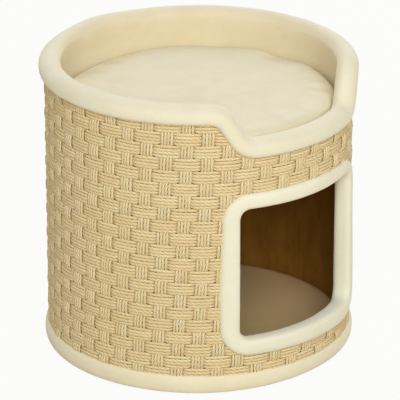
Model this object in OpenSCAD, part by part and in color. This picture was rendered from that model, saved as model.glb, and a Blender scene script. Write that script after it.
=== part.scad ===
// Round two-level pet house: a woven drum with a padded bed on top and a cave below it.
// The doorway faces -Y, +Z is up, and the origin is the centre of the footprint on the floor.
// Bearings are measured round the drum from the doorway, positive towards +X.

/* [Drum] */
// Outside diameter of the woven wall
body_d = 386; // [330:1:460]
// Height from the floor to the top of the rim roll
total_h = 380; // [350:1:440]
// Thickness of the woven cord cover
weave_t = 6; // [4:0.5:8]
// Thickness of the fibreboard shell under the weave
shell_t = 4; // [3:0.5:6]
// Thickness of the plush fabric
plush_t = 2; // [1.5:0.1:2.5]

/* [Rim roll] */
// Width of the padded rim roll, across the wall
rim_w = 27.5; // [25:0.5:32]
// Height of the padded rim roll
rim_h = 26; // [24:0.5:32]
// How far the rim roll stands out from the weave
rim_proud = 7; // [6:0.5:9]
// How far the top of the wall ends below the middle of the rim roll
rim_edge_in = 4; // [2:0.5:5]
// Depth of the dip over the doorway
dip_d = 47; // [34:1:60]
// Width of the dip at half its depth, along the wall
dip_w = 206; // [160:1:240]
// Radius of the bends at the top and the bottom of the dip
dip_r = 28; // [20:1:34]
// Steepest slope of the sides of the dip, in degrees
dip_slope = 58; // [50:1:66]

/* [Doorway] */
// Clear width of the doorway, along the wall
door_w = 190; // [150:1:210]
// Clear height of the doorway
door_h = 170; // [130:1:180]
// Height of the sill above the floor
door_sill = 72; // [60:1:74]
// Corner radius of the clear doorway
door_corner = 12; // [8:1:30]
// Width of the door roll on the face of the wall
door_roll_w = 22; // [20:0.5:26]
// Thickness of the door roll through the wall
door_roll_t = 23.5; // [22:0.5:26]
// How far the door roll stands out from the weave
door_proud = 6.5; // [5:0.5:6.5]
// How far the wall ends outside the middle of the door roll
door_edge_in = 3; // [1:0.5:4]

/* [Bed] */
// Depth of the deck below the top of the rim roll
bed_depth = 94; // [86:1:98]
// Thickness of the deck board
deck_t = 9; // [6:0.5:12]
// Thickness of the padded lining round the bed
lining_t = 7.5; // [5:0.5:9]
// Height of the cushion at its middle
cushion_h = 43; // [34:1:50]
// How much higher the middle of the cushion stands than its shoulder
cushion_crown = 5; // [3:0.5:9]
// Height of the cushion's side seam above its underside
cushion_seam_h = 18; // [14:0.5:20]
// How far the side seam is drawn in
cushion_draw = 2; // [1:0.5:4]
// How far the fullest part of the cushion's side lies above and below its seam
cushion_lip = 3; // [2:0.5:5]
// Clearance between the cushion and the rim roll it lifts past
cushion_clear = 1; // [0.8:0.1:3]

/* [Base] */
// Thickness of the base board
base_t = 12; // [9:0.5:15]
// Height of the padded band round the foot of the wall
band_h = 25; // [22:1:32]
// How far the foot band stands out from the weave
band_proud = 4; // [3.5:0.5:6]
// Height of the foot band above the floor
band_gap = 1; // [0.5:0.1:1.5]
// Width of the fabric tucked under the base board
tuck_w = 36; // [30:1:44]
// Diameter of each glide foot
foot_d = 24; // [18:1:26]
// Thickness of the glide feet
foot_h = 2.2; // [2:0.1:4]
// Number of glide feet
foot_n = 6; // [4:1:8]
// Diameter of the nail in each glide foot
nail_d = 2.4; // [2:0.1:3]
// Length of the nail above the foot
nail_l = 10; // [8:0.5:11]
// Thickness of the dust cloth under the base
cloth_t = 0.8; // [0.5:0.1:1.2]

/* [Fixings] */
// Width of each wooden cleat under the deck
cleat_w = 60; // [44:1:70]
// Depth of each cleat, from the shell inwards
cleat_d = 18; // [16:1:24]
// Height of each cleat
cleat_h = 20; // [16:1:22]
// Number of cleats
cleat_n = 6; // [4:1:6]
// Bearing of the first and the last cleat, clear of the doorway, in degrees
cleat_angle = 50; // [46:1:56]
// How far each cleat's two shell screws stand from its middle
cleat_screw_x = 18; // [12:0.5:18]
// How far each deck screw stands in from the shell
deck_screw_in = 10; // [8:0.5:11]
// Shank diameter of the wood screws
screw_d = 3.5; // [3:0.1:4]
// Head diameter of the wood screws
screw_head_d = 7; // [6:0.1:8]
// Length of the screws through the shell
shell_screw_l = 16; // [14:1:18]
// Length of the screws through the deck
deck_screw_l = 22; // [18:1:24]
// Number of screws round the base board
base_screw_n = 8; // [6:1:12]
// Gap between the shell's two ends at the back
seam_gap = 0.6; // [0.4:0.1:1]
// Width of the strip that joins the shell's two ends
strip_w = 44; // [30:1:50]
// Thickness of the joining strip
strip_t = 2; // [1.5:0.1:3]
// Width of a staple's crown
staple_w = 10; // [8:0.5:12]
// Thickness of the staple wire
staple_wire = 0.8; // [0.6:0.1:1]
// Length of a staple's legs
staple_leg = 5; // [4:0.5:5.5]
// Number of staples round the tucked fabric
tuck_staple_n = 24; // [16:1:32]
// Number of staples down each side of the joining strip
strip_staple_n = 7; // [5:1:9]

/* [Clearances] */
// Gap between rigid pieces that fit round each other
fit = 0.1; // [0.05:0.05:0.2]
// Gap between soft pieces and their neighbours
soft_gap = 0.3; // [0.2:0.05:0.5]
// Gap between the wall and the slot in a padded roll
slot_gap = 0.5; // [0.5:0.05:0.8]
// Gap round a screw or nail in its hole
hole_gap = 0.05; // [0.05:0.05:0.1]

/* [Hidden] */
$fn = 96;
eps = 1;                                        // overrun of a cutter past the face it cuts

// Radii of the wall's layers
weave_ro = body_d / 2;
weave_ri = weave_ro - weave_t;
shell_ro = weave_ri - fit;
shell_ri = shell_ro - shell_t;
lining_ro = shell_ri - soft_gap;
lining_ri = lining_ro - lining_t;

// Heights, from the floor up
board_z = foot_h + cloth_t + plush_t;
floor_z = board_z + base_t;
deck_z = total_h - bed_depth;
deck_top = deck_z + plush_t;
cleat_z = deck_z - deck_t - cleat_h;
rim_z = total_h - rim_h / 2;
dip_z = rim_z - dip_d;

// Rim roll: its middle line, and the two bends and the straight of each side of the dip
rim_r = weave_ro + rim_proud - rim_w / 2;
dip_straight = (dip_d - 2 * dip_r * (1 - cos(dip_slope))) / sin(dip_slope);
dip_run = 2 * dip_r * sin(dip_slope) + dip_straight * cos(dip_slope);
dip_x0 = dip_w / 2 - dip_run / 2;
dip_x1 = dip_w / 2 + dip_run / 2;
dip_x2 = dip_x1 - dip_r * sin(dip_slope);       // where the upper bend starts
dip_z2 = rim_z - dip_r * (1 - cos(dip_slope));

// Door roll: its middle line
door_r = weave_ro + door_proud - door_roll_t / 2;
door_hw = (door_w + door_roll_w) / 2;
door_z0 = door_sill - door_roll_w / 2;
door_z1 = door_sill + door_h + door_roll_w / 2;
door_bend = door_corner + door_roll_w / 2;

// Slots that take the wall's edge
slot_ri = shell_ri - slot_gap;
slot_ro = weave_ro + slot_gap;

// Foot band: an upright half oval that starts under the weave
band_r = weave_ro - weave_t / 2;
band_ax = weave_ro + band_proud - band_r;
band_face = weave_ro + soft_gap;
band_lip = acos((band_face - band_r) / band_ax);
band_az = band_h / (1 + sin(band_lip));
band_mid = band_gap + band_az;
tuck_ri = shell_ri - tuck_w;
cloth_r = tuck_ri + tuck_w / 2;
foot_r = tuck_ri + tuck_w / 4;
tuck_staple_r = cloth_r + tuck_w / 5;

// Fixings
screw_head_h = (screw_head_d - screw_d) / 2;
base_screw_z = board_z + base_t / 2;
cleat_step = (360 - 2 * cleat_angle) / (cleat_n - 1);
cleat_screw_r = sqrt(shell_ro ^ 2 - cleat_screw_x ^ 2) - screw_head_h / 2;
cleat_screw_z = cleat_z + cleat_h / 2;
deck_screw_r = shell_ri - deck_screw_in;
strip_a = strip_w / 2 / shell_ri * 180 / PI;
strip_ro = shell_ri - fit;
strip_z0 = floor_z + plush_t + soft_gap;
strip_z1 = deck_z - deck_t - fit;

// Cushion
cushion_r = rim_r - rim_w / 2 - cushion_clear;
cushion_z = deck_top + soft_gap;
cushion_rise = cushion_h - cushion_seam_h - cushion_lip - cushion_crown;
cushion_edge = 1 / 7;                           // squareness of the cushion's edge, 1 is round
cushion_bow = 0.5;                              // fullness of its shoulders, 1 is round

// How finely the rolls and cuts are divided
arc_step = 6;                                   // degrees round the drum
bend_n = 6;                                     // steps in each bend of the dip
corner_n = 6;                                   // steps in each corner of the doorway
skin_n = 4;                                     // steps in each quarter of a roll's fabric
core_n = 3;                                     // steps in each quarter of a roll's foam
band_n = 12;                                    // steps over the foot band
cushion_n = 14;                                 // steps over each half of the cushion's profile

function mix(a, b, t) = a + (b - a) * t;
function backwards(list) = [for (i = [len(list) - 1:-1:0]) list[i]];
function steps_round(length, r) = max(2, ceil(length / r * 180 / PI / arc_step));

// A place on the drum: x is measured round the drum at radius r0
function on_drum(r, x, z, r0) =
    let (a = x / r0 * 180 / PI)
    [r * sin(a), -r * cos(a), z];

// Stations of a middle line on the unrolled wall are [x, z, direction in degrees]
function bend(x, z, r, a0, a1, n) =
    let (s = a1 > a0 ? 1 : -1)
    [for (i = [0:n])
        let (a = mix(a0, a1, i / n))
        [x + s * r * (sin(a) - sin(a0)), z - s * r * (cos(a) - cos(a0)), a]];

// Right half of the dip, from its middle to where the rim is level again
dip_half = let (n = steps_round(dip_x0, rim_r)) concat(
    [for (i = [0:n - 1]) [dip_x0 * i / n, dip_z, 0]],
    bend(dip_x0, dip_z, dip_r, 0, dip_slope, bend_n),
    bend(dip_x2, dip_z2, dip_r, dip_slope, 0, bend_n));

function mirrored(list) = [for (s = backwards(list)) [-s[0], s[1], -s[2]]];

rim_line = let (
        back = PI * rim_r,
        n = steps_round(back - dip_x1, rim_r),
        level = [for (i = [1:n - 1]) [mix(dip_x1, back, i / n), rim_z, 0]],
        half = concat(dip_half, level),
        front = [for (i = [1:len(half) - 1]) half[i]])
    concat(half, [[back, rim_z, 0]], mirrored(front));

door_line = let (
        flat = door_hw - door_bend,
        n = steps_round(2 * flat, door_r))
    concat(
        [for (i = [1:n - 1]) [mix(-flat, flat, i / n), door_z0, 0]],
        bend(flat, door_z0, door_bend, 0, 90, corner_n),
        bend(door_hw, door_z1 - door_bend, door_bend, 90, 180, corner_n),
        [for (i = [1:n - 1]) [mix(flat, -flat, i / n), door_z1, 180]],
        bend(-flat, door_z1, door_bend, 180, 270, corner_n),
        bend(-door_hw, door_z0 + door_bend, door_bend, 270, 360, corner_n));

// Sections of a padded roll, as [across the wall, away from the wall's edge] points.
// a and b are the half sizes, and lo and hi are the sides of the slot.
// Each quarter of the oval between the slot's two lips has n steps.
function oval(a, b, lo, hi, n) =
    let (
        knots = [-acos(hi / a), 0, 90, 180, 360 - acos(lo / a)],
        turns = concat([for (q = [0:3], i = [0:n - 1]) mix(knots[q], knots[q + 1], i / n)], [knots[4]]))
    [for (t = turns) [a * cos(t), b * sin(t)]];

function skin_section(a, b, lo, hi) =
    let (inner = oval(a - plush_t, b - plush_t, lo, hi, core_n))
    concat(oval(a, b, lo, hi, skin_n), backwards(inner));

function core_section(a, b, lo, hi, slot) =
    let (in = plush_t + soft_gap)
    concat(oval(a - in, b - in, lo, hi, core_n), [[lo, slot], [hi, slot]]);

// Closed tube: the section carried round a closed middle line on the drum
module roll(line, section, r0) {
    n = len(line);
    m = len(section);
    polyhedron(
        points = [for (s = line, p = section)
            on_drum(r0 + p[0], s[0] - p[1] * sin(s[2]), s[1] + p[1] * cos(s[2]), r0)],
        faces = [for (i = [0:n - 1], j = [0:m - 1], half = [0, 1])
            let (
                a = i * m + j,
                b = i * m + (j + 1) % m,
                c = (i + 1) % n * m + (j + 1) % m,
                d = (i + 1) % n * m + j)
            half == 0 ? [a, b, c] : [a, c, d]]);
}

// Radial cutter through the wall: stations are [x, lowest z, highest z]
module radial_cut(stations, r0) {
    r_in = lining_ri - eps;
    r_out = weave_ro + eps;
    n = len(stations);
    end = 4 * (n - 1);
    polyhedron(
        points = [for (s = stations) each [
            on_drum(r_in, s[0], s[1], r0),
            on_drum(r_out, s[0], s[1], r0),
            on_drum(r_out, s[0], s[2], r0),
            on_drum(r_in, s[0], s[2], r0)]],
        faces = concat(
            [[2, 1, 0], [3, 2, 0]],
            [for (i = [0:n - 2], j = [0:3], half = [0, 1])
                let (a = 4 * i + j, b = 4 * i + (j + 1) % 4)
                half == 0 ? [a, b, a + 4] : [a + 4, b, b + 4]],
            [[end, end + 1, end + 2], [end, end + 2, end + 3]]));
}

// Takes away what lies above the rim's middle line lowered by drop
module dip_cut(drop) {
    front = [for (i = [1:len(dip_half) - 1]) dip_half[i]];
    radial_cut(
        [for (s = concat(mirrored(front), dip_half))
            [s[0] + drop * sin(s[2]), s[1] - drop * cos(s[2]), total_h + eps]],
        rim_r);
}

// Takes away the doorway, grown by grow past the door roll's middle line
module door_cut(grow) {
    hw = door_hw + grow;
    r = door_bend + grow;
    z0 = door_z0 - grow;
    z1 = door_z1 + grow;
    n = steps_round(2 * (hw - r), door_r);
    corner = [for (i = [0:corner_n])
        let (t = 90 * i / corner_n, rise = r * (1 - sin(t)))
        [r * (1 - cos(t)) - hw, z0 + rise, z1 - rise]];
    radial_cut(concat(
        corner,
        [for (i = [1:n - 1]) [mix(r - hw, hw - r, i / n), z0, z1]],
        [for (i = [corner_n:-1:0]) [-corner[i][0], corner[i][1], corner[i][2]]]), door_r);
}

module tube(ro, ri, z0, z1)
    translate([0, 0, z0])
    difference() {
        cylinder(r = ro, h = z1 - z0);
        translate([0, 0, -eps])
        cylinder(r = ri, h = z1 - z0 + 2 * eps);
    }

module disc(r, z0, t)
    translate([0, 0, z0])
    cylinder(r = r, h = t);

// Places a radial fixing: its head faces out at radius r, and it points inwards
module radial(a, r, z, x = 0)
    rotate(a)
    translate([x, -r, z])
    rotate([-90, 0, 0])
    children();

module screw(l, gap = 0, over = 0)
    rotate_extrude()
    polygon([
        [0, -over],
        [screw_head_d / 2 + gap, -over],
        [screw_head_d / 2 + gap, 0],
        [screw_d / 2 + gap, screw_head_h],
        [screw_d / 2 + gap, l - screw_d + gap],
        [0, l + gap]]);

module staple() {
    leg_x = staple_w / 2 - staple_wire;
    translate([-staple_w / 2, -staple_wire / 2, 0])
    cube([staple_w, staple_wire, staple_wire]);
    for (x = [-staple_w / 2, leg_x])
        translate([x, -staple_wire / 2, 0])
        cube([staple_wire, staple_wire, staple_leg]);
}

function cleat_a(i) = cleat_angle + cleat_step * (i - 1);
function foot_a(i) = 360 / foot_n * (i - 0.5);

module cleat_screw_places()
    for (i = [1:cleat_n], side = [-1, 1])
        radial(cleat_a(i), cleat_screw_r, cleat_screw_z, side * cleat_screw_x)
        children();

module deck_screw_places()
    for (i = [1:cleat_n])
        rotate(cleat_a(i))
        translate([0, -deck_screw_r, deck_z])
        rotate([180, 0, 0])
        children();

module base_screw_places()
    for (i = [0:base_screw_n - 1])
        radial(360 / base_screw_n * (i + 0.5), shell_ro - hole_gap, base_screw_z)
        children();

module foot_holes()
    for (i = [1:foot_n])
        rotate(foot_a(i))
        translate([0, -foot_r, -eps])
        cylinder(d = nail_d + 2 * hole_gap, h = foot_h + nail_l + eps + hole_gap);

module base_board()
    color("tan")
    difference() {
        disc(shell_ri - fit, board_z, base_t);
        foot_holes();
        base_screw_places() screw(shell_screw_l, hole_gap, eps);
    }

module base_dust_cloth()
    color("dimgray")
    difference() {
        disc(cloth_r, foot_h, cloth_t);
        foot_holes();
    }

module glide_foot(i)
    color("saddlebrown")
    rotate(foot_a(i))
    translate([0, -foot_r, 0])
    rotate_extrude()
    polygon([
        [0, 0],
        [foot_d / 2 - foot_h / 2, 0],
        [foot_d / 2, foot_h / 2],
        [foot_d / 2, foot_h],
        [nail_d / 2, foot_h],
        [nail_d / 2, foot_h + nail_l - nail_d],
        [0, foot_h + nail_l]]);

module wall_shell()
    color("peru")
    difference() {
        tube(shell_ro, shell_ri, board_z, rim_z - rim_edge_in);
        dip_cut(rim_edge_in);
        door_cut(door_edge_in);
        translate([-seam_gap / 2, shell_ri - eps, board_z - eps])
        cube([seam_gap, shell_t + 2 * eps, total_h]);
        cleat_screw_places() screw(shell_screw_l, hole_gap, screw_head_h);
        base_screw_places() screw(shell_screw_l, hole_gap, eps);
    }

module seam_strip()
    color("peru")
    rotate(90 - strip_a)
    rotate_extrude(angle = 2 * strip_a)
    translate([strip_ro - strip_t, strip_z0])
    square([strip_t, strip_z1 - strip_z0]);

module seam_staples()
    color("silver")
    for (i = [1:strip_staple_n], side = [-1, 1]) {
        z = mix(strip_z0, strip_z1, (i - 0.5) / strip_staple_n);
        rotate(180 + side * strip_a / 2)
        translate([0, -strip_ro + strip_t + staple_wire, z])
        rotate([90, 90, 0])
        staple();
    }

module woven_cover()
    color("burlywood")
    difference() {
        tube(weave_ro, weave_ri, board_z, rim_z - rim_edge_in);
        dip_cut(rim_edge_in);
        door_cut(door_edge_in);
    }

// Quarter and more of the foot band's oval, from under the wall up to the weave
function band_arc(ax, az, t0, t1, n) =
    [for (i = [0:n]) let (t = mix(t0, t1, i / n)) [band_r + ax * cos(t), band_mid + az * sin(t)]];

module base_foam() {
    in = plush_t + soft_gap;
    t = acos((band_face - band_r) / (band_ax - in));
    color("khaki")
    rotate_extrude()
    polygon(band_arc(band_ax - in, band_az - in, -t, t, band_n));
}

module base_cover() {
    t = acos((band_face - band_r) / (band_ax - plush_t));
    color("cornsilk")
    difference() {
        rotate_extrude()
        polygon(concat(
            [[tuck_ri, board_z], [tuck_ri, board_z - plush_t], [shell_ri, board_z - plush_t]],
            band_arc(band_ax, band_az, -90, band_lip, band_n),
            band_arc(band_ax - plush_t, band_az - plush_t, t, -t, band_n),
            [[band_face, board_z]]));
        foot_holes();
    }
}

module tuck_staples()
    color("silver")
    for (i = [1:tuck_staple_n])
        rotate(360 / tuck_staple_n * i)
        translate([0, -tuck_staple_r, board_z - plush_t - staple_wire])
        staple();

module floor_cover()
    color("wheat")
    disc(strip_ro - strip_t - soft_gap, floor_z, plush_t);

module rim_foam() {
    section = core_section(rim_w / 2, rim_h / 2, slot_ri - rim_r, slot_ro - rim_r, slot_gap - rim_edge_in);
    color("khaki")
    roll(rim_line, section, rim_r);
}

module rim_cover() {
    section = skin_section(rim_w / 2, rim_h / 2, slot_ri - rim_r, slot_ro - rim_r);
    color("cornsilk")
    roll(rim_line, section, rim_r);
}

module door_foam() {
    slot = slot_gap - door_edge_in;
    section = core_section(door_roll_t / 2, door_roll_w / 2, slot_ri - door_r, slot_ro - door_r, slot);
    color("khaki")
    roll(door_line, section, door_r);
}

module door_cover() {
    section = skin_section(door_roll_t / 2, door_roll_w / 2, slot_ri - door_r, slot_ro - door_r);
    color("cornsilk")
    roll(door_line, section, door_r);
}

module bed_lining()
    color("wheat")
    difference() {
        tube(lining_ro, lining_ri, deck_top + soft_gap, rim_z - rim_h / 2 - soft_gap);
        dip_cut(rim_h / 2 + soft_gap);
    }

module deck_board()
    color("tan")
    difference() {
        disc(shell_ri - fit, deck_z - deck_t, deck_t);
        deck_screw_places() screw(deck_screw_l, hole_gap, eps);
    }

module deck_cover()
    color("wheat")
    disc(lining_ro, deck_z, plush_t);

module deck_cleat(i)
    color("burlywood")
    difference() {
        intersection() {
            disc(shell_ri - fit, cleat_z, cleat_h);
            rotate(cleat_a(i))
            translate([-cleat_w / 2, -shell_ri, cleat_z])
            cube([cleat_w, cleat_d, cleat_h]);
        }
        cleat_screw_places() screw(shell_screw_l, hole_gap, eps);
        deck_screw_places() screw(deck_screw_l, hole_gap, eps);
    }

module cleat_screws()
    color("silver")
    cleat_screw_places() screw(shell_screw_l);

module deck_screws()
    color("silver")
    deck_screw_places() screw(deck_screw_l);

module base_screws()
    color("silver")
    base_screw_places() screw(shell_screw_l);

// Half profiles of the cushion, taken in on every side, from the middle out to the seam
function cushion_side(in, base, rise, crown) = concat(
    [for (i = [0:cushion_n])
        let (
            t = 90 * i / cushion_n,
            share = pow(sin(t), cushion_edge))
        [(cushion_r - in) * share, base + rise * pow(cos(t), cushion_bow) + crown * (1 - share ^ 2)]],
    [[cushion_r - in - cushion_draw, cushion_seam_h]]);

function cushion_upper(in) =
    cushion_side(in, cushion_seam_h + cushion_lip, cushion_rise - in, cushion_crown);

function cushion_lower(in) =
    cushion_side(in, cushion_seam_h - cushion_lip, in - cushion_seam_h + cushion_lip, 0);

module cushion_turned(points)
    translate([0, 0, cushion_z])
    rotate_extrude()
    polygon(points);

module cushion_foam() {
    in = plush_t + soft_gap;
    color("ivory")
    cushion_turned(concat(cushion_upper(in), backwards(cushion_lower(in))));
}

module cushion_top()
    color("cornsilk")
    cushion_turned(concat(cushion_upper(0), backwards(cushion_upper(plush_t))));

module cushion_base()
    color("cornsilk")
    cushion_turned(concat(cushion_lower(0), backwards(cushion_lower(plush_t))));

base_board();
base_dust_cloth();
for (i = [1:foot_n])
    glide_foot(i);
wall_shell();
seam_strip();
seam_staples();
woven_cover();
base_foam();
base_cover();
tuck_staples();
floor_cover();
rim_foam();
rim_cover();
door_foam();
door_cover();
bed_lining();
deck_board();
deck_cover();
for (i = [1:cleat_n])
    deck_cleat(i);
cleat_screws();
deck_screws();
base_screws();
cushion_foam();
cushion_top();
cushion_base();
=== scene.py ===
import math

import bmesh
import bpy
import numpy as np
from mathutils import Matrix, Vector, noise


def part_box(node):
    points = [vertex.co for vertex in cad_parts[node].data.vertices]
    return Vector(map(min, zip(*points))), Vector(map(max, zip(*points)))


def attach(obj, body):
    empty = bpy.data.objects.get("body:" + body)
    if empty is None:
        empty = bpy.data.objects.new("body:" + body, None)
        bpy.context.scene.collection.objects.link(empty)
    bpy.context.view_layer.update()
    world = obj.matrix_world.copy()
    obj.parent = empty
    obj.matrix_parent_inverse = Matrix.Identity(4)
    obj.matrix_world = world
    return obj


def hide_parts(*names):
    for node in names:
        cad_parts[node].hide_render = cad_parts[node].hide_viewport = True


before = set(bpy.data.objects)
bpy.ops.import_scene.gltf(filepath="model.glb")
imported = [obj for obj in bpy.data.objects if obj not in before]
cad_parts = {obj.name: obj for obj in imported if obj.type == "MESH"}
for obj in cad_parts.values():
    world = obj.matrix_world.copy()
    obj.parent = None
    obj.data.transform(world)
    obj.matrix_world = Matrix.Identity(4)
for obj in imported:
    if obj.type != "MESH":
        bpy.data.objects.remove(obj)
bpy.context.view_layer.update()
scene = bpy.context.scene
print("frame loaded:", len(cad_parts), "nodes")


# Small helpers for meshes

def addObject(name, mesh):
    thing = bpy.data.objects.new(name, mesh)
    scene.collection.objects.link(thing)
    return thing


def smoothFaces(mesh):
    mesh.polygons.foreach_set("use_smooth", [True] * len(mesh.polygons))
    mesh.update()


def meshFrom(name, points, faces):
    mesh = bpy.data.meshes.new(name)
    mesh.from_pydata([tuple(p) for p in points], [], faces)
    smoothFaces(mesh)
    return mesh


def gridFaces(rows, columns):
    # a grid that closes both ways
    faces = []
    for i in range(rows):
        for j in range(columns):
            a = i * columns + j
            b = i * columns + (j + 1) % columns
            c = (i + 1) % rows * columns + (j + 1) % columns
            d = (i + 1) % rows * columns + j
            faces.append((a, b, c, d))
    return faces


def readPoints(mesh):
    points = np.empty(len(mesh.vertices) * 3)
    mesh.vertices.foreach_get("co", points)
    return points.reshape(-1, 3)


def writePoints(mesh, points):
    mesh.vertices.foreach_set("co", points.ravel())


def faceOutwards(mesh):
    work = bmesh.new()
    work.from_mesh(mesh)
    bmesh.ops.remove_doubles(work, verts=work.verts, dist=1e-6)
    loose = [edge for edge in work.edges if not edge.link_faces]  # from pole to pole of a turned piece
    bmesh.ops.delete(work, geom=loose, context="EDGES")
    bmesh.ops.recalc_face_normals(work, faces=work.faces)
    work.to_mesh(mesh)
    work.free()
    smoothFaces(mesh)


def bakeModifiers(thing):
    graph = bpy.context.evaluated_depsgraph_get()
    mesh = bpy.data.meshes.new_from_object(thing.evaluated_get(graph))
    thing.modifiers.clear()
    thing.data = mesh
    mesh.name = thing.name


def onDrum(radius, x, z, lineRadius):
    angle = x / lineRadius  # x is measured round the drum at lineRadius, from the doorway towards +X
    return (radius * math.sin(angle), -radius * math.cos(angle), z)


def smoothShare(share):
    share = min(1.0, max(0.0, share))
    return share * share * (3 - 2 * share)


def mixed(a, b, share):
    return a + (b - a) * share


def outwards(azimuth, elevation):
    # from the object towards a camera or a lamp
    level = math.cos(elevation)
    return Vector((math.sin(azimuth) * level, -math.cos(azimuth) * level, math.sin(elevation)))


# Node trees: a Field is a number that a tree works out at every point

class Field:
    def __init__(self, tree, socket):
        self.tree = tree
        self.socket = socket

    def __add__(self, other):
        return mathNode(self.tree, "ADD", self, other)

    def __sub__(self, other):
        return mathNode(self.tree, "SUBTRACT", self, other)

    def __rsub__(self, other):
        return mathNode(self.tree, "SUBTRACT", other, self)

    def __mul__(self, other):
        return mathNode(self.tree, "MULTIPLY", self, other)

    def __truediv__(self, other):
        return mathNode(self.tree, "DIVIDE", self, other)

    __radd__ = __add__
    __rmul__ = __mul__


def feed(tree, socket, value):
    if isinstance(value, Field):
        tree.links.new(value.socket, socket)
    elif isinstance(value, bpy.types.NodeSocket):
        tree.links.new(value, socket)
    else:
        socket.default_value = value


def addNode(tree, kind, inputs=None, **settings):
    node = tree.nodes.new(kind)
    for name, value in settings.items():
        setattr(node, name, value)
    for name, value in (inputs or {}).items():
        feed(tree, node.inputs[name], value)
    return node


def mathNode(tree, operation, *values):
    node = addNode(tree, "ShaderNodeMath", dict(enumerate(values)), operation=operation)
    return Field(tree, node.outputs[0])


def vectorOf(tree, x, y, z):
    return addNode(tree, "ShaderNodeCombineXYZ", {0: x, 1: y, 2: z}).outputs[0]


def noiseAt(tree, vector, scale, detail=2.0, roughness=0.5, offset=None):
    node = addNode(tree, "ShaderNodeTexNoise", {"Vector": vector, "Scale": scale, "Detail": detail,
                                                "Roughness": roughness})
    if offset is not None:
        node.noise_dimensions = "4D"
        feed(tree, node.inputs["W"], offset)
    return Field(tree, node.outputs[0])


def spread(tree, value, low, high, newLow=0.0, newHigh=1.0):
    node = addNode(tree, "ShaderNodeMapRange", {0: value, 1: low, 2: high, 3: newLow, 4: newHigh},
                   interpolation_type="SMOOTHSTEP")
    return Field(tree, node.outputs[0])


def mixColor(tree, share, a, b):
    return addNode(tree, "ShaderNodeMix", {0: share, 6: a, 7: b}, data_type="RGBA").outputs[2]


def srgb(red, green, blue):
    def linear(c):
        c = c / 255
        return c / 12.92 if c <= 0.04045 else ((c + 0.055) / 1.055) ** 2.4
    return (linear(red), linear(green), linear(blue), 1.0)


# The camera stands where the photograph was taken from

view = {
    "aim": Vector((0, 0, 0.1809)),
    "distance": 4.2975,
    "azimuth": math.radians(-44.5),
    "elevation": math.radians(22.17),
    "lens": 304.8,
    "shift": 0.0033,
}


def buildCamera():
    lens = bpy.data.cameras.new("photoCamera")
    lens.lens = view["lens"]
    lens.shift_x = view["shift"]
    lens.clip_end = 50
    camera = addObject("photoCamera", lens)
    away = outwards(view["azimuth"], view["elevation"])
    camera.location = view["aim"] + away * view["distance"]
    camera.rotation_euler = away.to_track_quat("Z", "Y").to_euler()
    scene.camera = camera


buildCamera()
print("camera placed")


# Finishes

def newMaterial(name, **constants):
    material = bpy.data.materials.new(name)
    material.use_nodes = True
    tree = material.node_tree
    tree.nodes.clear()
    shader = addNode(tree, "ShaderNodeBsdfPrincipled", constants)
    output = addNode(tree, "ShaderNodeOutputMaterial")
    tree.links.new(shader.outputs[0], output.inputs[0])
    return material, tree, shader


def shaderGroup(name, inputs, outputs):
    tree = bpy.data.node_groups.new(name, "ShaderNodeTree")
    for label, (kind, value) in inputs.items():
        socket = tree.interface.new_socket(name=label, in_out="INPUT", socket_type=kind)
        socket.default_value = value
    for label, kind in outputs.items():
        tree.interface.new_socket(name=label, in_out="OUTPUT", socket_type=kind)
    source = addNode(tree, "NodeGroupInput")
    target = addNode(tree, "NodeGroupOutput")
    return tree, source.outputs, target.inputs


def useGroup(tree, group, **values):
    node = addNode(tree, "ShaderNodeGroup", node_tree=group)
    for label, value in values.items():
        feed(tree, node.inputs[label], value)
    return node.outputs


def addBump(tree, shader, height, strength, distance):
    bump = addNode(tree, "ShaderNodeBump", {"Height": height, "Strength": strength, "Distance": distance})
    tree.links.new(bump.outputs[0], shader.inputs["Normal"])


def mottle(tree, shader, share, colors, grain, rough):
    tree.links.new(mixColor(tree, share, *colors), shader.inputs["Base Color"])
    feed(tree, shader.inputs["Roughness"], spread(tree, grain, *rough))


def objectPlace(tree):
    return addNode(tree, "ShaderNodeTexCoord").outputs["Object"]


plush = {
    "brushed": 24.0,        # noise scales for each metre: brushed patches of the nap,
    "clumps": 210.0,        # clumps of fibres
    "fuzz": 1100.0,         # and the fibres
    "fuzzShare": 0.65,      # of the grain, the rest is clumps
    "pileHeight": 0.0008,
    "gloss": 0.03,
    "sheenRough": 0.6,
    "sheenTint": (1.0, 0.93, 0.8, 1.0),
}


def pileGroup():
    tree, given, out = shaderGroup(
        "plushPile",
        {"Color": ("NodeSocketColor", (0.8, 0.8, 0.8, 1)), "Shade": ("NodeSocketColor", (0.5, 0.5, 0.5, 1)),
         "Patches": ("NodeSocketFloat", 0.5), "Fuzz": ("NodeSocketFloat", 0.5)},
        {"Color": "NodeSocketColor", "Height": "NodeSocketFloat", "Roughness": "NodeSocketFloat"})
    place = objectPlace(tree)
    brushed = noiseAt(tree, place, plush["brushed"], 3.0, 0.55)
    clumps = noiseAt(tree, place, plush["clumps"], 2.0, 0.6)
    fuzz = noiseAt(tree, place, plush["fuzz"], 3.0, 0.7)
    nap = spread(tree, brushed, 0.35, 0.68) * Field(tree, given["Patches"])
    grain = spread(tree, fuzz, 0.3, 0.7) * plush["fuzzShare"]
    grain = grain + spread(tree, clumps, 0.3, 0.7) * (1 - plush["fuzzShare"])
    grain = grain * Field(tree, given["Fuzz"])
    color = mixColor(tree, nap * 0.5 + grain * 0.5, given["Color"], given["Shade"])
    tree.links.new(color, out["Color"])
    feed(tree, out["Height"], fuzz * 0.7 + clumps * 0.5)
    feed(tree, out["Roughness"], spread(tree, clumps, 0.2, 0.8, 0.86, 1.0))
    return tree


plushPile = pileGroup()


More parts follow.
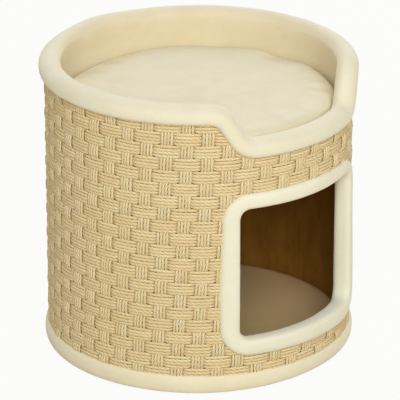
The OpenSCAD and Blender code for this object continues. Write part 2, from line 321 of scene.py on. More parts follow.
def plushMaterial(name, color, shade, patches=0.5, fuzz=0.5, bump=0.35, sheen=0.65, blend=None):
    # blend is a second pair of tones, for where the piece's attribute secondTone is 1
    constants = {"Sheen Weight": sheen, "Sheen Roughness": plush["sheenRough"],
                 "Sheen Tint": plush["sheenTint"], "Specular IOR Level": plush["gloss"]}
    material, tree, shader = newMaterial(name, **constants)
    pile = useGroup(tree, plushPile, Color=color, Shade=shade, Patches=patches, Fuzz=fuzz)
    if blend:
        share = addNode(tree, "ShaderNodeAttribute", attribute_name="secondTone").outputs["Fac"]
        feed(tree, pile["Color"].node.inputs["Color"], mixColor(tree, share, color, blend[0]))
        feed(tree, pile["Color"].node.inputs["Shade"], mixColor(tree, share, shade, blend[1]))
    tree.links.new(pile["Color"], shader.inputs["Base Color"])
    tree.links.new(pile["Roughness"], shader.inputs["Roughness"])
    addBump(tree, shader, pile["Height"], bump, plush["pileHeight"])
    return material


paperCord = {
    "light": srgb(246, 234, 195),
    "deep": srgb(239, 220, 175),    # slow changes along a cord
    "dark": srgb(232, 211, 163),    # the darker cords
    "darkShare": 0.75,
    "fibre": srgb(214, 184, 128),
    "fibreShare": 0.35,
    "groove": srgb(176, 140, 76),   # painted shade in the grooves between the plies
    "grooveShadeShare": 0.4,
    "sunk": srgb(146, 108, 46),     # painted shade where a cord dives deep in the weave
    "sunkShadeShare": 0.2,
    "fibreStretch": (90.0, 14.0, 60.0),
    "fibreHeight": 0.0003,
}


def cordMaterial():
    material, tree, shader = newMaterial("twistedPaperCord", **{"Specular IOR Level": 0.1})

    def stored(label, output="Fac"):
        return addNode(tree, "ShaderNodeAttribute", attribute_name=label).outputs[output]

    split = addNode(tree, "ShaderNodeSeparateXYZ", {0: stored("cordMap", "Vector")}).outputs
    along, around, tone = (Field(tree, split[i]) for i in range(3))
    stretch = paperCord["fibreStretch"]
    fibreLine = vectorOf(tree, along * stretch[0], around * stretch[1], tone * stretch[2])
    fibres = noiseAt(tree, fibreLine, 1.0, 3.0, 0.6)
    slow = noiseAt(tree, vectorOf(tree, along * 22.0, tone * 80.0, tone * 33.0), 1.0, 2.0, 0.5)
    straw = mixColor(tree, spread(tree, slow, 0.32, 0.68), paperCord["light"], paperCord["deep"])
    darker = spread(tree, tone, 0.1, 1.0, 0.0, paperCord["darkShare"])
    straw = mixColor(tree, darker, straw, paperCord["dark"])
    streaks = spread(tree, fibres, 0.35, 0.7, 0.0, paperCord["fibreShare"])
    straw = mixColor(tree, streaks, straw, paperCord["fibre"])
    # painted shade: the grooves between the plies are darkened
    grooves = spread(tree, stored("plyGroove"), 0.4, 1.0, 0.0, paperCord["grooveShadeShare"])
    straw = mixColor(tree, grooves, straw, paperCord["groove"])
    # painted shade: cords are darkened the deeper they lie in the mat
    sunk = Field(tree, stored("depth")) * paperCord["sunkShadeShare"]
    straw = mixColor(tree, sunk, straw, paperCord["sunk"])
    tree.links.new(straw, shader.inputs["Base Color"])
    feed(tree, shader.inputs["Roughness"], spread(tree, fibres, 0.2, 0.8, 0.62, 0.85))
    addBump(tree, shader, fibres, 0.4, paperCord["fibreHeight"])
    return material


def boardMaterial(name, color, dark, scale, streak, bump, rough):
    # pressed or sawn wood: streaks along one axis and fine fibres
    material, tree, shader = newMaterial(name, **{"Specular IOR Level": 0.3})
    place = objectPlace(tree)
    turned = addNode(tree, "ShaderNodeMapping", {"Vector": place, "Scale": streak}).outputs[0]
    streaks = noiseAt(tree, turned, scale, 4.0, 0.6)
    specks = noiseAt(tree, place, 900.0, 2.0, 0.6)
    share = spread(tree, streaks, 0.3, 0.72) * 0.7 + spread(tree, specks, 0.45, 0.75) * 0.4
    mottle(tree, shader, share, (color, dark), specks, (0.2, 0.8, rough - 0.1, rough + 0.1))
    addBump(tree, shader, streaks + specks * 0.5, bump, 0.0005)
    return material


def metalMaterial():
    material, tree, shader = newMaterial("zincWire", Metallic=1.0)
    smear = noiseAt(tree, objectPlace(tree), 700.0, 3.0, 0.6)
    colors = (srgb(205, 205, 200), srgb(160, 160, 156))
    mottle(tree, shader, spread(tree, smear, 0.3, 0.7), colors, smear, (0.2, 0.8, 0.28, 0.5))
    return material


def glideMaterial():
    material, tree, shader = newMaterial("mouldedBrown")
    scuffs = noiseAt(tree, objectPlace(tree), 420.0, 4.0, 0.65)
    colors = (srgb(96, 66, 42), srgb(132, 100, 72))
    mottle(tree, shader, spread(tree, scuffs, 0.5, 0.75), colors, scuffs, (0.3, 0.7, 0.35, 0.6))
    addBump(tree, shader, scuffs, 0.2, 0.0002)
    return material


def clothMaterial():
    material, tree, shader = newMaterial("spunDustCloth", **{"Specular IOR Level": 0.2, "Sheen Weight": 0.1})
    place = objectPlace(tree)
    drawn = addNode(tree, "ShaderNodeMapping", {"Vector": place, "Scale": (1, 3.5, 1)}).outputs[0]
    strands = noiseAt(tree, drawn, 500.0, 4.0, 0.7)
    spots = addNode(tree, "ShaderNodeTexVoronoi", {"Vector": place, "Scale": 420.0})
    dots = spread(tree, spots.outputs["Distance"], 0.1, 0.35)
    share = spread(tree, strands, 0.35, 0.7) * 0.6 + dots * 0.3
    mottle(tree, shader, share, (srgb(28, 28, 30), srgb(66, 66, 68)), strands, (0.2, 0.8, 0.75, 0.95))
    addBump(tree, shader, strands + dots * 0.5, 0.4, 0.0003)
    return material


cream = {  # each plush and its shade
    "trim": (srgb(241, 237, 211), srgb(231, 222, 189)),
    # painted light: the door's plush is the trim's, made lighter
    "door": (srgb(244, 242, 220), srgb(234, 228, 198)),
    # painted shade: the foot band's plush is the trim's, made darker and warmer
    "foot": (srgb(240, 233, 203), srgb(230, 218, 180)),
    "lining": (srgb(234, 222, 191), srgb(220, 204, 165)),
    # the cave floor is the lining's plush made warmer and darker: partly a tan floor, partly painted warm
    # shade inside the cave
    "floor": (srgb(222, 194, 142), srgb(206, 174, 118)),
    "cushion": (srgb(245, 238, 213), srgb(235, 225, 193)),
    # painted shade for the cushion's edge at the dip
    "edgeShade": (srgb(228, 219, 187), srgb(218, 208, 170)),
}
finishes = {
    "foot": plushMaterial("creamPlushFoot", *cream["foot"], bump=0.55),
    "door": plushMaterial("creamPlushDoor", *cream["door"], bump=0.55),
    "rim": plushMaterial("creamPlushRim", *cream["lining"], bump=0.55, blend=cream["trim"]),
    "lining": plushMaterial("creamPlushLining", *cream["lining"], sheen=0.05),
    "floor": plushMaterial("warmPlushFloor", *cream["floor"], sheen=0.05),
    "cushion": plushMaterial("creamPlushCushion", *cream["cushion"], patches=0.7, sheen=0.02,
                             blend=cream["edgeShade"]),
    "cord": cordMaterial(),
    "hardboard": boardMaterial("brownHardboard", srgb(156, 110, 38), srgb(125, 81, 23),
                               scale=60.0, streak=(1, 1, 0.35), bump=0.3, rough=0.6),
    "board": boardMaterial("pressedBoard", srgb(196, 164, 120), srgb(160, 126, 84),
                           scale=260.0, streak=(1, 1, 1), bump=0.3, rough=0.75),
    "pine": boardMaterial("sawnPine", srgb(222, 186, 132), srgb(190, 146, 92),
                          scale=90.0, streak=(0.25, 0.25, 2.4), bump=0.35, rough=0.7),
    "zinc": metalMaterial(),
    "glide": glideMaterial(),
    "dustCloth": clothMaterial(),
}
print("finishes made:", len(finishes))


def dressNodes(finish, *names):
    for name in names:
        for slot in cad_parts[name].material_slots:
            slot.link = "OBJECT"
            slot.material = finishes[finish]


cleats = [f"deck_cleat_{i}" for i in range(1, 7)]
glides = [f"glide_foot_{i}" for i in range(1, 7)]
dressNodes("hardboard", "wall_shell", "seam_strip")
dressNodes("board", "base_board", "deck_board")
dressNodes("pine", *cleats)
dressNodes("zinc", "seam_staples", "tuck_staples", "cleat_screws", "deck_screws", "base_screws")
dressNodes("glide", *glides)


def finishPiece(thing, finish, slot, body, *nodes):
    if finish:
        thing.data.materials.clear()
        thing.data.materials.append(finishes[finish])
    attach(thing, body)
    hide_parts(*nodes)


# Middle lines of the two rolls on the unrolled wall: stations are (x, z, direction)

def bendStations(x, z, radius, start, end, count):
    side = 1 if end > start else -1
    stations = []
    for i in range(count + 1):
        a = mixed(start, end, i / count)
        stations.append((x + side * radius * (math.sin(a) - math.sin(start)),
                         z - side * radius * (math.cos(a) - math.cos(start)), a))
    return stations


def straightStations(start, end, z, direction, step):
    count = max(2, round(abs(end - start) / step))
    return [(mixed(start, end, i / count), z, direction) for i in range(1, count)]


rim = {
    "width": 0.0275,        # across the wall
    "height": 0.026,
    "dipDepth": 0.047,
    "dipWidth": 0.206,      # at half the depth
    "dipReach": 0.006,      # the slope towards +X lies this much further out
    "dipBend": 0.028,
    "dipSlope": math.radians(58),
    "wallEnd": 0.004,       # how far the wall's edge lies below the middle line
    "step": 0.005,
    "lean": 0.0052,         # how far the outer side leans inwards at the top
    "lowSquare": 3.3,       # how square the section is: its lower half,
    "topSquare": 2.25,      # its top outside
    "innerSquare": 2.15,    # and its top inside
    "lowShort": 0.0012,     # the lower half is this much less high
    "topShort": 0.0006,
    "slackRight": -0.0009,  # how far the rim is off level behind, towards +X
    "slackLeft": 0.0007,    # and towards -X,
    "slackFrom": 1.0,       # from this bearing behind,
    "slackTo": 1.6,         # to this much before a whole turn,
    "leftFrom": math.radians(150),
    "leftOver": math.radians(35),
    "rise": 0.0016,         # and how far it rises between
    "riseAt": math.radians(179),
    "riseWide": math.radians(10),
    "tintFrom": math.radians(75),   # where the plush goes over to the lining's, round the section
    "tintOver": math.radians(80),
    "shoulderShadeAt": math.radians(32),     # painted shade: the outer shoulder is painted a little darker
    "shoulderShadeWide": math.radians(28),
    "shoulderShadeTone": 0.3,
    "bendSteps": 12,
    "slopeSteps": 5,
    "sides": 40,
    "fill": 0.9,
}
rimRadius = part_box("rim_cover")[1].x - rim["width"] / 2
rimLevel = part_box("rim_cover")[1].z - rim["height"] / 2


def rimOffLevel(x):
    bearing = x / rimRadius % math.tau
    off = (bearing - rim["riseAt"]) / rim["riseWide"]
    behind = smoothShare(bearing - rim["slackFrom"]) * smoothShare(math.tau - bearing - rim["slackTo"])
    left = smoothShare((bearing - rim["leftFrom"]) / rim["leftOver"])
    slack = behind * mixed(rim["slackRight"], rim["slackLeft"], left)
    return slack + rim["rise"] * math.exp(-off * off)


def dipStations(reach):
    r = rim["dipBend"]
    slope = rim["dipSlope"]
    straight = (rim["dipDepth"] - 2 * r * (1 - math.cos(slope))) / math.sin(slope)
    run = 2 * r * math.sin(slope) + straight * math.cos(slope)
    first = rim["dipWidth"] / 2 + reach - run / 2
    last = first + run
    low = rimLevel - rim["dipDepth"]
    lower = bendStations(first, low, r, 0, slope, rim["bendSteps"])
    high = rimLevel - r * (1 - math.cos(slope))
    upper = bendStations(last - r * math.sin(slope), high, r, slope, 0, rim["bendSteps"])
    x, z, a = lower[-1]
    shares = [i / rim["slopeSteps"] for i in range(1, rim["slopeSteps"])]
    middle = [(mixed(x, upper[0][0], share), mixed(z, upper[0][1], share), a) for share in shares]
    return [(0, low, 0)] + straightStations(0, first, low, 0, rim["step"]) + lower + middle + upper


def rimStations():
    back = math.pi * rimRadius
    halves = []
    for reach in (rim["dipReach"], 0.0):
        half = dipStations(reach)
        halves.append(half + straightStations(half[-1][0], back, rimLevel, 0, rim["step"]))
    mirrored = [(-x, z, -a) for x, z, a in reversed(halves[1][1:])]
    line = halves[0] + [(back, rimLevel, 0)] + mirrored
    return [(x, z + rimOffLevel(x), a) for x, z, a in line]


door = {
    "rollWidth": 0.022,     # on the face of the wall
    "rollThick": 0.0235,    # through the wall
    "clearCorner": 0.012,
    "clearWidth": 0.190,    # along the wall
    "wallEnd": 0.003,
    "step": 0.005,
    "square": 3.1,          # how square the roll's section is, 2 is an oval
    "topPress": 0.84,       # the roll is pressed flatter over the doorway
    "lowSwell": 1.42,       # and is fuller on its outer side towards the sill,
    "lowFull": 0.8,         # fully so at this share of the way down
    "sillTilt": 0.14,       # more so at the end towards +X
    "farPress": 0.3,        # its top is thinner at that end
    "clearSide": 0.95,      # its half width on the doorway's side, as a share
    "clearFlat": 0.15,      # less so over and under the doorway
    "sillRound": 2.0,       # how square the section is on the sill, towards the cave
    "bendSteps": 10,
    "sides": 36,
    "fill": 0.9,
}
doorLow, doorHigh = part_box("door_cover")
doorRadius = -doorLow.y - door["rollThick"] / 2
doorBottom = doorLow.z + door["rollWidth"] / 2
doorTop = doorHigh.z - door["rollWidth"] / 2
doorHalf = (door["clearWidth"] + door["rollWidth"]) / 2
doorBend = door["clearCorner"] + door["rollWidth"] / 2


def doorStations():
    flat = doorHalf - doorBend
    step = door["step"]
    turn = math.pi / 2
    bends = door["bendSteps"]
    sides = max(2, round((doorTop - doorBottom - 2 * doorBend) / step))
    rises = [mixed(doorBottom + doorBend, doorTop - doorBend, i / sides) for i in range(1, sides)]
    line = straightStations(-flat, flat, doorBottom, 0, step)
    line += bendStations(flat, doorBottom, doorBend, 0, turn, bends)
    line += [(doorHalf, z, turn) for z in rises]
    line += bendStations(doorHalf, doorTop - doorBend, doorBend, turn, 2 * turn, bends)
    line += straightStations(flat, -flat, doorTop, 2 * turn, step)
    line += bendStations(-flat, doorTop, doorBend, 2 * turn, 3 * turn, bends)
    line += [(-doorHalf, z, 3 * turn) for z in reversed(rises)]
    line += bendStations(-doorHalf, doorBottom + doorBend, doorBend, 3 * turn, 4 * turn, bends)
    return line


# The woven wall: every cord is a three-ply tube that goes over and under

weave = {
    "bands": 48,                # upright bands round the drum
    "cords": 4,                 # cords in a band or a row
    "rowPitch": 0.01634,
    "rowFoot": 0.034,           # lower edge of row 0
    "rows": range(-1, 20),
    "uprightPitch": 0.0038,     # between the cords of an upright band
    "firstBand": math.radians(-45),     # bearing of band 0 at leanFoot
    "lean": math.radians(4) / 0.294,    # upright bands lean, radians for each metre of height
    "leanFoot": 0.042,
    "foot": 0.014,              # where the upright cords end under the foot band
    "cordRadius": 0.00238,
    "plies": 3,
    "plyDepth": 0.22,
    "flatness": 0.68,
    "lift": 0.0016,             # how far a cord rises and sinks in the weave
    "uprightLift": 1.5,         # upright cords do so more
    "rowSharp": 3.2,            # how sudden a row cord's dive is,
    "rowFloat": 0.4,            # and how much longer it floats than it dives
    "uprightSharp": 2.6,
    "uprightFloat": 0.18,
    "dome": 0.22,               # how round a float is along its length
    "rowPillow": 0.0007,        # how far the outer cords of a row lie deeper
    "bandPillow": 0.0006,       # and of an upright band
    "pinch": 0.05,              # how far a band narrows where it dives
    "twistTurns": 60,           # turns of the plies in one row round the drum
    "twistLength": 0.020,       # length of one turn in the upright cords
    "wobble": 0.0011,           # slack sideways
    "wobbleScale": 45.0,
    "thickScale": 130.0,        # a cord's thickness changes along it,
    "thickVary": 0.3,           # by this share from end to end
    "deepest": -0.0012,         # the painted shade's depth is 1 this far from the middle of the mat,
    "highest": 0.002,           # and 0 here
    # each cord's tone is random; upright cords are also kept lighter than row cords, as painted light
    "rowTone": (0.35, 1.0),
    "uprightTone": 0.4,
    "stepLength": 0.002,
    "sides": 6,
    "wholeLength": 0.348,       # of the upright cords, for their number of steps
    "belowLength": 0.044,
    "aboveLength": 0.1,
    "rowPieces": 4,
    "uprightPieces": 2,
    "seed": 11,
}
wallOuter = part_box("woven_cover")[1].x
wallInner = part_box("wall_shell")[1].x
cordLevel = (wallOuter + wallInner) / 2


def cordTree():
    tree = bpy.data.node_groups.new("wovenCords", "GeometryNodeTree")
    kinds = {"Geometry": "Geometry", "Steps": "Int", "Sides": "Int"}
    for label in ("Upright", "Middle Radius", "Lift", "Sharpness", "Float Bias", "Cord Radius", "Ply Depth",
                  "Dome", "Pinch", "Flatness", "Twist Round", "Twist Up", "Wobble", "Lanes", "Lane Parts"):
        kinds[label] = "Float"
    kinds["Finish"] = "Material"
    sockets = {}
    for label, kind in kinds.items():
        socket = tree.interface.new_socket(name=label, in_out="INPUT", socket_type="NodeSocket" + kind)
        sockets[label] = socket.identifier
    tree.interface.new_socket(name="Geometry", in_out="OUTPUT", socket_type="NodeSocketGeometry")
    given = addNode(tree, "NodeGroupInput").outputs
    number = {label: Field(tree, given[label]) for label, kind in kinds.items() if kind in ("Int", "Float")}

    def named(label):
        node = addNode(tree, "GeometryNodeInputNamedAttribute", {"Name": label}, data_type="FLOAT")
        return Field(tree, node.outputs["Attribute"])

    def stored(geometry, label, value, kind, domain):
        node = addNode(tree, "GeometryNodeStoreNamedAttribute",
                       {"Geometry": geometry, "Name": label, "Value": value}, data_type=kind, domain=domain)
        return node.outputs[0]

    # one flat strip for each cord: x runs along it and y round it
    strip = addNode(tree, "GeometryNodeMeshGrid", {"Size X": 1.0, "Size Y": 1.0,
                                                   "Vertices X": number["Steps"] + 1,
                                                   "Vertices Y": number["Sides"] + 1})
    copies = addNode(tree, "GeometryNodeInstanceOnPoints", {"Points": given["Geometry"],
                                                            "Instance": strip.outputs["Mesh"]})
    real = addNode(tree, "GeometryNodeRealizeInstances", {"Geometry": copies.outputs[0]})
    position = addNode(tree, "GeometryNodeInputPosition").outputs[0]
    at = addNode(tree, "ShaderNodeSeparateXYZ", {0: position}).outputs
    along = Field(tree, at[0]) + 0.5
    around = Field(tree, at[1]) + 0.5
    angle = named("angleStart") + (named("angleEnd") - named("angleStart")) * along
    height = named("zStart") + (named("zEnd") - named("zStart")) * along
    upright = number["Upright"]
    tone = named("tone")

    # over and under
    lean = (height - weave["leanFoot"]) * weave["lean"]
    bandPhase = (angle - weave["firstBand"] - lean) / (math.tau / weave["bands"])
    rowPhase = (height - weave["rowFoot"]) / weave["rowPitch"] - 0.5
    crossing = bandPhase + (rowPhase - bandPhase) * upright
    wave = mathNode(tree, "COSINE", (crossing + named("turn")) * math.pi)
    state = mathNode(tree, "TANH", (wave + number["Float Bias"]) * number["Sharpness"])
    lifted = (state * (1.0 - number["Dome"]) + wave * number["Dome"]) * number["Lift"]
    narrowed = named("offset") * (state - 1.0) * number["Pinch"] * 0.5

    # a little slack sideways
    sine = mathNode(tree, "SINE", angle)
    cosine = mathNode(tree, "COSINE", angle)
    place = vectorOf(tree, sine * number["Middle Radius"], cosine * number["Middle Radius"], height)
    slack = noiseAt(tree, place, weave["wobbleScale"], 1.0, 0.5, tone * 50.0)
    sway = (slack - 0.5) * number["Wobble"]

    # three plies, twisted, and closed at the cord's ends
    turned = around * math.tau
    groove = 0.5 - mathNode(tree, "COSINE", turned * float(weave["plies"])) * 0.5
    ends = mathNode(tree, "GREATER_THAN", mathNode(tree, "ABSOLUTE", along - 0.5), 0.49999)
    thick = noiseAt(tree, place, weave["thickScale"], 1.0, 0.5, tone * 90.0 + 7.0)
    thick = thick * weave["thickVary"] + (1 - weave["thickVary"] / 2)
    girth = number["Cord Radius"] * thick * (1.0 - groove * number["Ply Depth"])
    girth = girth * (1.0 - ends * named("isOpen"))
    twisted = turned + angle * number["Twist Round"] + height * number["Twist Up"] + tone * 40.0
    outward = girth * mathNode(tree, "COSINE", twisted) * number["Flatness"]
    sideways = girth * mathNode(tree, "SINE", twisted) + sway + narrowed
    radius = number["Middle Radius"] + lifted + outward - named("sunk")
    bearing = angle + sideways * upright / number["Middle Radius"]
    level = height + sideways * (1.0 - upright)
    spot = vectorOf(tree, radius * mathNode(tree, "SINE", bearing),
                    radius * mathNode(tree, "COSINE", bearing) * -1.0, level)

    length = angle * number["Middle Radius"] * (1.0 - upright) + height * upright
    # depth masks the painted shade on cords that lie deep in the mat
    sunkShadeMask = spread(tree, radius - number["Middle Radius"], weave["highest"], weave["deepest"])
    cordPlace = vectorOf(tree, length, around, tone)
    mapped = stored(real.outputs[0], "cordMap", cordPlace, "FLOAT_VECTOR", "CORNER")
    # plyGroove also masks the painted shade in the grooves between the plies
    grooved = stored(mapped, "plyGroove", groove, "FLOAT", "POINT")
    deepened = stored(grooved, "depth", sunkShadeMask, "FLOAT", "POINT")

    # every cord has its own lanes on the bake map
    faceAlong = addNode(tree, "GeometryNodeFieldOnDomain", {"Value": along},
                        data_type="FLOAT", domain="FACE")
    parts = number["Lane Parts"]
    part = mathNode(tree, "FLOOR", Field(tree, faceAlong.outputs[0]) * parts)
    lane = named("lane") * parts + part + around * 0.96 + 0.02
    flat = vectorOf(tree, along * parts - part, lane / (number["Lanes"] * parts), 0.0)
    charted = stored(deepened, "OFBake", flat, "FLOAT2", "CORNER")
    placed = addNode(tree, "GeometryNodeSetPosition", {"Geometry": charted, "Position": spot})
    merged = addNode(tree, "GeometryNodeMergeByDistance", {"Geometry": placed.outputs[0], "Distance": 1e-6})
    flipped = addNode(tree, "GeometryNodeFlipFaces",
                      {"Mesh": merged.outputs[0], "Selection": mathNode(tree, "GREATER_THAN", upright, 0.5)})
    smooth = addNode(tree, "GeometryNodeSetShadeSmooth", {"Geometry": flipped.outputs[0]})
    whole = addNode(tree, "GeometryNodeRealizeInstances", {"Geometry": smooth.outputs[0]})
    finished = addNode(tree, "GeometryNodeSetMaterial",
                       {"Geometry": whole.outputs[0], "Material": given["Finish"]})
    output = addNode(tree, "NodeGroupOutput")
    tree.links.new(finished.outputs[0], output.inputs[0])
    return tree, sockets


wovenCords, cordSockets = cordTree()
cordData = ("angleStart", "angleEnd", "zStart", "zEnd", "turn", "isOpen", "tone", "sunk", "offset", "lane")


def wovenPiece(name, cords, steps, upright):
    # cords holds one row of cordData for each cord
    mesh = bpy.data.meshes.new(name)
    mesh.from_pydata([(0, 0, 0)] * len(cords), [], [])
    for i, label in enumerate(cordData):
        column = mesh.attributes.new(label, "FLOAT", "POINT")
        column.data.foreach_set("value", [float((*c, lane)[i]) for lane, c in enumerate(cords)])
    thing = addObject(name, mesh)
    maker = thing.modifiers.new("cords", "NODES")
    maker.node_group = wovenCords
    settings = {
        "Steps": steps,
        "Sides": weave["sides"],
        "Upright": float(upright),
        "Middle Radius": cordLevel,
        "Cord Radius": weave["cordRadius"],
        "Ply Depth": weave["plyDepth"],
        "Dome": weave["dome"],
        "Pinch": weave["pinch"],
        "Flatness": weave["flatness"],
        "Wobble": weave["wobble"],
        "Lanes": float(len(cords)),
        "Finish": finishes["cord"],
    }
    if upright:
        settings.update({"Lift": weave["lift"] * weave["uprightLift"], "Sharpness": weave["uprightSharp"],
                         "Float Bias": weave["uprightFloat"], "Twist Round": 0.0,
                         "Twist Up": math.tau / weave["twistLength"], "Lane Parts": 1.0})
    else:
        settings.update({"Lift": weave["lift"], "Sharpness": weave["rowSharp"],
                         "Float Bias": weave["rowFloat"], "Twist Round": -float(weave["twistTurns"]),
                         "Twist Up": 0.0, "Lane Parts": 2.0})
    for label, value in settings.items():
        maker[cordSockets[label]] = value
    bakeModifiers(thing)
    finishPiece(thing, None, "woven_cord", "house", "woven_cover")


def wallEdge(reach):
    # the wall's upper edge along the dip
    end = rim["wallEnd"]
    edge = [(x + end * math.sin(a), z - end * math.cos(a)) for x, z, a in dipStations(reach)]
    return [p[0] for p in edge], [p[1] for p in edge]


rightEdge = wallEdge(rim["dipReach"])
leftEdge = wallEdge(0.0)


def wallTop(angle):
    x = math.remainder(angle, math.tau) * rimRadius
    return float(np.interp(abs(x), *(rightEdge if x > 0 else leftEdge)))


def doorGap(z):
    # half the doorway's width at a height, as an angle
    grow = door["wallEnd"]
    r = doorBend + grow
    past = max(0.0, doorBottom + doorBend - z, z - doorTop + doorBend)
    if past >= r:
        return 0.0
    return (doorHalf - doorBend + math.sqrt(r * r - past * past)) / doorRadius


def frontGap(z, edge):
    if z > edge[1][0]:
        return float(np.interp(z, edge[1], edge[0])) / rimRadius
    return doorGap(z)


def sunkBy(c, pillow):
    return pillow * (2 * c / (weave["cords"] - 1) - 1) ** 2


def rowCords(random):
    cords = []
    for row in weave["rows"]:
        for c in range(weave["cords"]):
            offset = ((c + 0.5) / weave["cords"] - 0.5) * weave["rowPitch"]
            z = weave["rowFoot"] + (row + 0.5) * weave["rowPitch"] + offset
            right = frontGap(z, rightEdge)
            left = frontGap(z, leftEdge)
            tone = mixed(*weave["rowTone"], random.random())
            cords.append((right, math.tau - left, z, z, row + 1, float(right > 0), tone,
                          sunkBy(c, weave["rowPillow"]), offset))
    return cords


def uprightCords(random):
    whole, below, above = [], [], []
    doorSpan = doorHalf + door["wallEnd"]
    for band in range(weave["bands"]):
        for c in range(weave["cords"]):
            offset = (c - (weave["cords"] - 1) / 2) * weave["uprightPitch"]
            foot = weave["firstBand"] + band * math.tau / weave["bands"] + offset / cordLevel
            tone = random.random() * weave["uprightTone"]
            sunk = sunkBy(c, weave["bandPillow"])

            def bearing(z):
                return foot + (z - weave["leanFoot"]) * weave["lean"]

            def cord(low, high):
                return (bearing(low), bearing(high), low, high, band, 1.0, tone, sunk, offset)

            top = wallTop(bearing(rimLevel))
            middle = abs(math.remainder(bearing((doorBottom + doorTop) / 2), math.tau)) * doorRadius
            if middle < doorSpan:
                below.append(cord(weave["foot"], doorBottom - door["wallEnd"]))
                above.append(cord(doorTop + door["wallEnd"], top))
            else:
                whole.append(cord(weave["foot"], top))
    return whole, below, above


def buildWeave():
    random = np.random.default_rng(weave["seed"])
    rows = rowCords(random)
    whole, below, above = uprightCords(random)
    step = weave["stepLength"]
    ring = round(math.tau * cordLevel / step)
    share = math.ceil(len(rows) / weave["rowPieces"])
    for i in range(weave["rowPieces"]):
        wovenPiece(f"weave_rows_{i + 1}", rows[i * share:(i + 1) * share], ring, False)
    steps = round(weave["wholeLength"] / step)
    share = math.ceil(len(whole) / weave["uprightPieces"])
    for i in range(weave["uprightPieces"]):
        wovenPiece(f"weave_uprights_{i + 1}", whole[i * share:(i + 1) * share], steps, True)
    wovenPiece("weave_uprights_under_door", below, round(weave["belowLength"] / step), True)
    wovenPiece("weave_uprights_over_door", above, round(weave["aboveLength"] / step), True)


buildWeave()
print("weave made")


# Padded rolls

stuffing = {
    "swell": 0.02,              # share by which a hand-stuffed roll is thicker or thinner
    "slow": 22.0,               # long swells, noise scale for each metre
    "quick": 70.0,              # and short ones, half as high
}


def uneven(point, size, scale, shift):
    return size * noise.noise(Vector(point) * scale + Vector((shift, shift * 0.7, -shift)))


def sweptRoll(name, stations, shape, count, lineRadius, tint=None):
    # shape gives the section's point (across, away) for a turn t at a station
    swell = stuffing["swell"]
    points = []
    tints = []
    for x, z, a in stations:
        for t in np.linspace(0, math.tau, count, endpoint=False):
            across, away = shape(t, x, z, a)
            spot = onDrum(lineRadius + across, x - away * math.sin(a), z + away * math.cos(a), lineRadius)
            grow = 1 + uneven(spot, swell, stuffing["slow"], 3.1)
            grow += uneven(spot, swell * 0.5, stuffing["quick"], 9.7)
            points.append(onDrum(lineRadius + across * grow, x - away * grow * math.sin(a),
                                 z + away * grow * math.cos(a), lineRadius))
            tints.append(tint(t) if tint else 1.0)
    mesh = meshFrom(name, points, gridFaces(len(stations), count))
    if tint:
        mesh.attributes.new("secondTone", "FLOAT", "POINT").data.foreach_set("value", tints)
    faceOutwards(mesh)
    return addObject(name, mesh)


def rounded(t, a, b, power):
    # a point of a slightly square oval
    c, s = math.cos(t), math.sin(t)
    reach = (abs(c) ** power + abs(s) ** power) ** (-1 / power)
    return a * c * reach, b * s * reach


def rimShape(t, x, z, a):
    half = rim["height"] / 2
    if math.sin(t) < 0:
        return rounded(t, rim["width"] / 2, half - rim["lowShort"], rim["lowSquare"])
    inner = smoothShare(0.5 - math.cos(t) / 2)
    square = mixed(rim["topSquare"], rim["innerSquare"], inner)
    across, away = rounded(t, rim["width"] / 2, half - rim["topShort"], square)
    return across - rim["lean"] * (away / half) ** 2 * (1 - inner), away


def rimTint(t):
    # the plush is the lining's on the inner side, with painted shade along the outer shoulder
    turn = math.remainder(t, math.tau)
    shoulderShade = math.exp(-((turn - rim["shoulderShadeAt"]) / rim["shoulderShadeWide"]) ** 2)
    outer = 1 - smoothShare((abs(turn) - rim["tintFrom"]) / rim["tintOver"])
    return outer * (1 - rim["shoulderShadeTone"] * shoulderShade)


def doorShape(t, x, z, a):
    low = min(1.0, max(0.0, (doorTop - z) / (doorTop - doorBottom)))
    through = door["rollThick"] / 2
    face = door["rollWidth"] / 2
    square = door["square"]
    if math.sin(t) > 0 and math.cos(t) < 0:
        square = mixed(square, door["sillRound"], low ** 4 * math.cos(a) ** 2)
    across, away = rounded(t, through, face, square)
    if across > 0:
        across *= mixed(door["topPress"], 1.0, low)
    if away < 0:
        far = smoothShare(x / doorHalf) * (1 - low)
        away *= mixed(1.0, door["lowSwell"], smoothShare(low / door["lowFull"])) - door["farPress"] * far
        away *= 1 + door["sillTilt"] * x / doorHalf * smoothShare(2 * low - 1)
    else:
        away *= door["clearSide"] - door["clearFlat"] * math.cos(a) ** 2
    return across, away


def buildRolls():
    rimRoll = sweptRoll("rim_roll", rimStations(), rimShape, rim["sides"], rimRadius, rimTint)
    finishPiece(rimRoll, "rim", "plush_trim", "house", "rim_cover", "rim_foam")
    doorRoll = sweptRoll("door_roll", doorStations(), doorShape, door["sides"], doorRadius)
    finishPiece(doorRoll, "door", "plush_trim", "house", "door_cover", "door_foam")


buildRolls()
print("rolls made")


def turnedPiece(name, profile, steps, shape):
    # profile is a closed (radius, z) outline, and shape moves its points at an angle
    points = []
    for i in range(steps):
        angle = math.tau * i / steps
        for corner in profile:
            radius, z = shape(*corner, angle)
            points.append((radius * math.sin(angle), -radius * math.cos(angle), z))
    mesh = meshFrom(name, points, gridFaces(steps, len(profile)))
    faceOutwards(mesh)
    return addObject(name, mesh)


